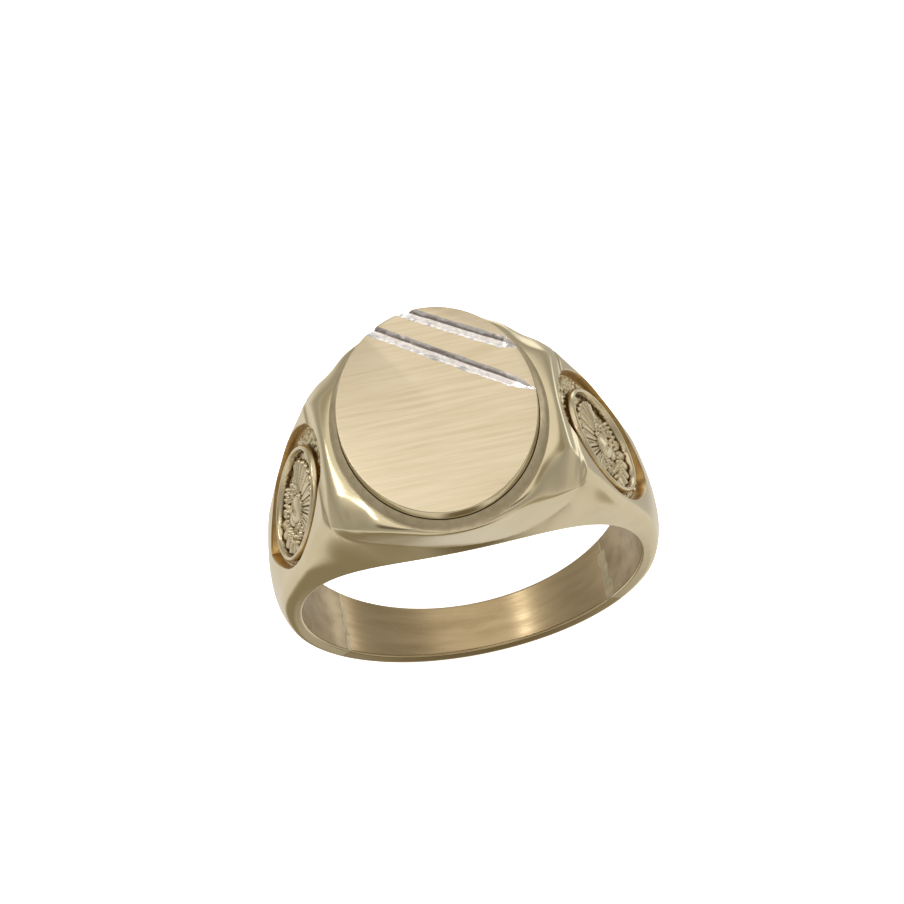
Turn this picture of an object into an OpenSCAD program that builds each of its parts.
// Signet ring: a cast head with shoulders, a formed lower shank, an oval face plate
// and two oval shoulder medallions, all joined with solder.
// Frame: origin at the centre of the finger hole, +Y along the finger, +Z towards the face.

/* [Finger hole] */
// Radius of the finger hole
bore_r = 9.9; // [7.5:0.1:12]

/* [Shank] */
// Thickness of the shank at the middle of its width
shank_wall = 1.4; // [1.2:0.1:2.4]
// Width of the shank at the bottom of the ring
bottom_w = 3.2; // [2.4:0.1:5]
// Width added by the straight taper from the bottom to the top of the finger hole
taper_w = 4.3; // [2:0.1:6]
// Width added at the top by the flare into the head
flare_w = 4.7; // [2:0.1:6]
// How late the flare starts on the way up
flare_power = 5.5; // [3:0.5:8]
// How far the domed outside of the shank drops towards its edges
dome_drop = 0.6; // [0.2:0.05:0.8]
// Angle from the top of the ring to each solder seam
seam_angle = 128; // [115:1:150]

/* [Head] */
// Height of the lip under the face plate, above the centre of the finger hole
lip_z = 14.1; // [12.5:0.1:17]
// Width of the lip across the finger
lip_x = 13.4; // [10:0.1:16]
// Width of the lip along the finger
lip_y = 14.3; // [11:0.1:17]
// Height of the crease under the head at its middle
crease_z = 10.9; // [10.2:0.1:12.5]
// Angle past the end of the lip at which the crease runs out
corner_lag = 5.3; // [3:0.1:9]
// How far the rounded corners of the collar are trimmed back
corner_trim = 0.35; // [0:0.05:0.6]
// Radius that rounds the long edges of the shoulders
shoulder_edge = 0.8; // [0.2:0.1:1]

/* [Hollow under the head] */
// Width of the hollow across the finger
hollow_x = 8.4; // [5:0.1:9.5]
// Width of the hollow along the finger
hollow_y = 9; // [5:0.1:10]
// Thickness of metal left between the hollow and the seat of the face plate
roof_t = 1.3; // [0.8:0.1:2]

/* [Face plate] */
// Width of the face plate across the finger
plate_x = 11.04; // [8:0.1:14]
// Width of the face plate along the finger
plate_y = 13.2; // [9:0.1:15]
// Thickness of the face plate
plate_t = 1.54; // [0.8:0.02:2.5]
// Depth of the seat that locates the face plate
seat_depth = 0.4; // [0.2:0.05:0.8]
// Gap between the face plate and the wall of its seat
seat_gap = 0.04; // [0.02:0.01:0.15]
// Width of the cove ring cut into the lip around the face plate
cove_w = 0.3; // [0.1:0.05:0.5]

/* [Bright cuts] */
// Width of each groove across the face plate
groove_w = 0.8; // [0.4:0.05:1.2]
// Depth of each groove
groove_depth = 0.3; // [0.15:0.05:0.5]
// Distance of the outer groove from the middle of the plate
groove_far = 5.05; // [4:0.1:5.5]
// Distance of the inner groove from the middle of the plate
groove_near = 3.15; // [2:0.1:3.6]
// Angle of the grooves to the width of the plate
groove_angle = -34; // [-50:1:-20]

/* [Shoulder pockets] */
// Length of the pocket along the shoulder
pocket_len = 11.5; // [9:0.1:12.5]
// Width of the pocket along the finger
pocket_w = 6.9; // [5.5:0.1:7.2]
// Depth of the pocket at its middle
pocket_depth = 0.8; // [0.4:0.05:0.9]
// Distance from the lip to the upper end of the pocket
pocket_margin = 0.3; // [0.2:0.05:1]

/* [Medallions] */
// Length of the medallion along the shoulder
medal_len = 8.3; // [6:0.1:9]
// Width of the medallion along the finger
medal_w = 5.7; // [4:0.1:6]
// Thickness of the medallion at its rim
medal_t = 0.85; // [0.6:0.05:1.2]
// Width of the raised rim
rim_w = 0.35; // [0.2:0.05:0.6]
// Depth of the ground inside the rim
ground_depth = 0.35; // [0.2:0.05:0.45]
// Distance from the middle of the pocket up to the middle of the medallion
medal_shift = 0; // [0:0.1:1]

/* [Solder] */
// Thickness of every solder film
solder_t = 0.1; // [0.06:0.01:0.15]

/* [Hidden] */
$fn = 96;

gold = "#d9c79b";
pale_gold = "#e8dcb4";
face_gold = "#e0cfa6";

outer_r = bore_r + shank_wall;
inside = 1;                     // how far raw shapes reach into the hole before it is bored
crease_edge = 0.06;             // rounding of the edge that the collar covers
head_steps = 6;                 // cross-sections from the middle of the head to its corner
shank_steps = 72;               // cross-sections from corner to corner round the shank
far = 40;                       // longer than anything in the ring
lip_reach = norm([lip_x / 2, lip_z]);
lip_turn = atan(lip_x / 2 / lip_z);                 // angle of the lip's end from the top
tangent_turn = lip_turn + acos(outer_r / lip_reach);  // where the straight shoulder meets the shank
shoulder_len = sqrt(lip_reach * lip_reach - outer_r * outer_r);
corner_turn = lip_turn + corner_lag;                  // where the crease runs out into the shoulder
corner_reach = shoulder_r(corner_turn);
corner_rise = corner_reach * cos(corner_turn) - crease_z;
seat_z = lip_z - seat_depth;
plate_z = seat_z + solder_t;
face_z = plate_z + plate_t;
pocket_mid = shoulder_len - pocket_margin - pocket_len / 2;
medal_mid = pocket_mid + medal_shift;
hollow_roof = seat_z - roof_t;

// Angles of the cross-sections: across the head from corner to corner, then round the shank
head_turns = [for (i = [-head_steps : head_steps]) i * corner_turn / head_steps];
turns = concat(head_turns,
               [for (i = [1 : shank_steps - 1])
                corner_turn + i * (360 - 2 * corner_turn) / shank_steps]);

// Half-width of the ring at an angle from the top
function half_w(turn) =
    let (up = (1 + cos(turn)) / 2)
    bottom_w / 2 + taper_w / 2 * up + flare_w / 2 * pow(up, flare_power);

// Distance from the centre to the straight line of the shoulder
function shoulder_r(turn) = outer_r / cos(turn - tangent_turn);

// Distance from the centre to the crease under the head
function crease_r(turn) =
    (crease_z + corner_rise * pow(abs(turn) / corner_turn, 3)) / cos(turn);

// An angle from the top as one between 0 and 180
function from_top(turn) = turn > 180 ? 360 - turn : abs(turn);

// Distance from the centre to the middle of the outside at an angle from the top
function outside_r(turn) =
    let (t = from_top(turn))
    t < corner_turn ? crease_r(t) : t < tangent_turn ? shoulder_r(t) : outer_r;

// 0 under the head, 1 where the angle has passed the blend
function blend(turn, from, to) =
    let (s = min(1, max(0, (from_top(turn) - from) / (to - from)))) s * s * (3 - 2 * s);

// One cross-section: inner corners, then a rounded outside from edge to edge
function section(turn) =
    let (w = half_w(turn), r = outside_r(turn),
         edge = crease_edge + (shoulder_edge - crease_edge) * blend(turn, corner_turn, corner_turn + 8),
         dome = blend(turn, tangent_turn - 15, tangent_turn + 30),
         round_y = edge + (w * 0.92 - edge) * dome,
         drop = edge + (dome_drop - edge) * dome,
         half = [for (a = [0 : 22.5 : 90]) [r - drop * (1 - sin(a)), w - round_y * (1 - cos(a))]])
    concat([[bore_r - inside, w]], half,
           [for (i = [len(half) - 1 : -1 : 0]) [half[i][0], -half[i][1]]], [[bore_r - inside, -w]]);

// The raw ring, swept section by section around the hole
module raw_ring() {
    sections = [for (t = turns) section(t)];
    n = len(turns);
    m = len(sections[0]);
    points = [for (i = [0 : n - 1]) for (p = sections[i])
              [p[0] * sin(turns[i]), p[1], p[0] * cos(turns[i])]];
    faces = [for (i = [0 : n - 1]) for (j = [0 : m - 1])
             let (a = i * m + j, b = i * m + (j + 1) % m,
                  c = ((i + 1) % n) * m + (j + 1) % m, d = ((i + 1) % n) * m + j)
             each [[a, c, b], [a, d, c]]];
    polyhedron(points = points, faces = faces, convexity = 6);
}

module bore() {
    rotate([90, 0, 0]) cylinder(r = bore_r, h = far, center = true);
}

module oval(x, y, h) {
    scale([x / y, 1, 1]) cylinder(d = y, h = h);
}

// The flared collar between the crease and the lip
module collar() {
    hull() {
        translate([0, 0, lip_z - 0.01]) oval(lip_x, lip_y, 0.01);
        for (t = head_turns, side = [-1, 1]) {
            r = crease_r(t);
            trim = 0.01 + corner_trim * pow(abs(t) / corner_turn, 6);
            translate([r * sin(t), side * (half_w(t) - trim), r * cos(t)])
                cube(0.02, center = true);
        }
    }
}

// The wedge of the ring below the two seams
module below_seams(grow = 0) {
    rotate([90, 0, 0])
        linear_extrude(height = far, center = true)
            polygon([for (p = [[0, 0], [far * tan(180 - seam_angle), -far],
                               [-far * tan(180 - seam_angle), -far]])
                     [p[0], p[1] + (grow > 0 ? grow / sin(180 - seam_angle) : 0)]]);
}

// Places its children on the right shoulder: +Z out of the shoulder, +X down along it
module on_shoulder(up = 0, out = 0) {
    rotate([0, tangent_turn, 0]) translate([-up, 0, outer_r + out]) children();
}

// The outline of a pocket: round towards the head, pointed towards the shank
module pocket_outline() {
    polygon([for (a = [0 : 7.5 : 352.5])
             let (s = cos(a), c = abs(sin(a)))
             [pocket_len / 2 * s,
              sign(sin(a)) * pocket_w / 2 * (s > 0 ? pow(c, 1.6) : c)]]);
}

module pocket() {
    on_shoulder(pocket_mid, -pocket_depth) linear_extrude(height = 4) pocket_outline();
}

module both_sides() {
    children();
    mirror([1, 0, 0]) children();
}

module head_casting() {
    color(gold)
        difference() {
            union() {
                raw_ring();
                collar();
            }
            bore();
            below_seams(solder_t);
            both_sides() pocket();
            translate([0, 0, hollow_roof - far]) oval(hollow_x, hollow_y, far);
            translate([0, 0, seat_z])
                oval(plate_x + 2 * seat_gap, plate_y + 2 * seat_gap, far);
            translate([0, 0, lip_z - cove_w])
                oval(plate_x + 2 * cove_w, plate_y + 2 * cove_w, far);
        }
}

module lower_shank() {
    color(gold)
        difference() {
            intersection() {
                raw_ring();
                below_seams();
            }
            bore();
        }
}

// Solder in the gap between the head casting and the lower shank
module right_seam_solder() {
    color(pale_gold)
        difference() {
            intersection() {
                raw_ring();
                below_seams(solder_t);
                translate([0, -far / 2, -far]) cube(far);
            }
            below_seams();
            bore();
        }
}

module left_seam_solder() {
    mirror([1, 0, 0]) right_seam_solder();
}

// A V-shaped groove that crosses the whole plate
module bright_cut(distance) {
    rotate([0, 0, groove_angle])
        translate([0, distance, face_z])
            rotate([90, 0, 90])
                linear_extrude(height = far, center = true)
                    polygon([[-groove_w / 2, 0], [0, -groove_depth], [groove_w / 2, 0],
                             [groove_w / 2, 1], [-groove_w / 2, 1]]);
}

module face_plate() {
    color(face_gold)
        difference() {
            translate([0, 0, plate_z]) oval(plate_x, plate_y, plate_t);
            bright_cut(groove_far);
            bright_cut(groove_near);
        }
}

module face_plate_solder() {
    color(pale_gold)
        translate([0, 0, seat_z]) oval(plate_x, plate_y, solder_t);
}

// The medallion: an oval plate, a raised rim, a low dome and a plain bust with a fan of feathers
module medallion_blank() {
    rim_z = medal_t;
    ground_z = medal_t - ground_depth;
    head_r = medal_w * 0.17;
    difference() {
        oval(medal_len, medal_w, rim_z);
        translate([0, 0, ground_z]) oval(medal_len - 2 * rim_w, medal_w - 2 * rim_w, far);
    }
    intersection() {
        oval(medal_len - rim_w, medal_w - rim_w, far);
        union() {
            translate([0.2, 0, ground_z - 0.05]) oval(head_r * 2.6, head_r * 2, 0.3);
            for (a = [-50 : 20 : 50])
                rotate([0, 0, 180 + a]) translate([head_r * 1.2, -0.22, ground_z - 0.05])
                    cube([medal_len * 0.22, 0.44, 0.22]);
            translate([head_r * 1.9, 0, ground_z - 0.05]) oval(head_r * 1.6, head_r * 3.4, 0.22);
        }
    }
}

module right_medallion() {
    color(gold) on_shoulder(medal_mid, solder_t - pocket_depth) medallion_blank();
}

module left_medallion() {
    mirror([1, 0, 0]) right_medallion();
}

module right_medallion_solder() {
    color(pale_gold)
        on_shoulder(medal_mid, -pocket_depth) oval(medal_len, medal_w, solder_t);
}

module left_medallion_solder() {
    mirror([1, 0, 0]) right_medallion_solder();
}

head_casting();
lower_shank();
face_plate();
left_medallion();
right_medallion();
face_plate_solder();
left_medallion_solder();
right_medallion_solder();
left_seam_solder();
right_seam_solder();
